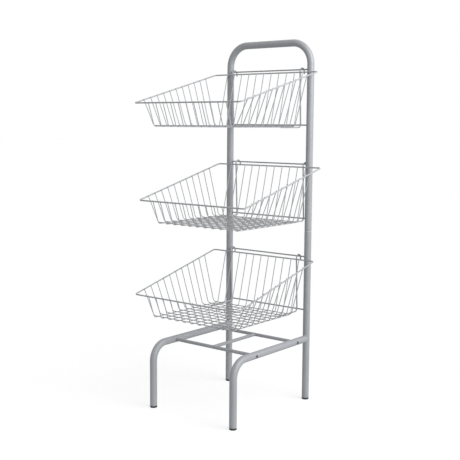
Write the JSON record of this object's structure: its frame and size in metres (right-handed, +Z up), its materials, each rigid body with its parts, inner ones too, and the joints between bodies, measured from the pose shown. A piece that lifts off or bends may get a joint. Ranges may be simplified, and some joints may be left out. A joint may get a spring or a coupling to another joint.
{
  "type": "wire basket stand",
  "caption": "Free-standing tubular stand with tiers of slanted open wire baskets that hook onto rods between its rear uprights, for displaying goods in a shop or kitchen.",
  "frame": {"origin": "on the floor, under the middle of the whole stand with its baskets", "axes": "+Z up, the baskets' low open front faces -Y, +X to the right of someone who looks along +Y"},
  "size_m": [0.482, 0.4644, 1.2821],
  "materials": {
    "tube_coat": "satin silver-grey powder coat",
    "basket_wire": "dull zinc plating",
    "foot_plastic": "moulded black plastic",
    "bolt_steel": "dark zinc",
    "sleeve_steel": "mill finish"
  },
  "bodies": {
    "stand": {"upper_hoop": "tube_coat", "left_lower_post": "tube_coat", "right_lower_post": "tube_coat", "post_spigots": "sleeve_steel", "left_front_leg": "tube_coat", "right_front_leg": "tube_coat", "front_crossbar": "tube_coat", "rear_crossbar": "tube_coat", "centre_bar": "tube_coat", "crossbar_bolts": "bolt_steel", "feet": "foot_plastic", "bottom_hook_rod": "tube_coat", "bottom_rest_rod": "tube_coat", "middle_hook_rod": "tube_coat", "middle_rest_rod": "tube_coat", "top_hook_rod": "tube_coat", "top_rest_rod": "tube_coat"},
    "bottom_basket": {"bottom_basket_rim": "basket_wire", "bottom_basket_cross_wires": "basket_wire", "bottom_basket_long_wires": "basket_wire", "bottom_basket_left_hook": "basket_wire", "bottom_basket_right_hook": "basket_wire"},
    "middle_basket": {"middle_basket_rim": "basket_wire", "middle_basket_cross_wires": "basket_wire", "middle_basket_long_wires": "basket_wire", "middle_basket_left_hook": "basket_wire", "middle_basket_right_hook": "basket_wire"},
    "top_basket": {"top_basket_rim": "basket_wire", "top_basket_cross_wires": "basket_wire", "top_basket_long_wires": "basket_wire", "top_basket_left_hook": "basket_wire", "top_basket_right_hook": "basket_wire"}
  },
  "joints": [
    {"name": "bottom_basket_lift", "type": "slide", "parent": "stand", "child": "bottom_basket", "axis": [0, 0, 1], "range_m": [0, 0.03]},
    {"name": "middle_basket_lift", "type": "slide", "parent": "stand", "child": "middle_basket", "axis": [0, 0, 1], "range_m": [0, 0.03]},
    {"name": "top_basket_lift", "type": "slide", "parent": "stand", "child": "top_basket", "axis": [0, 0, 1], "range_m": [0, 0.03]}
  ]
}
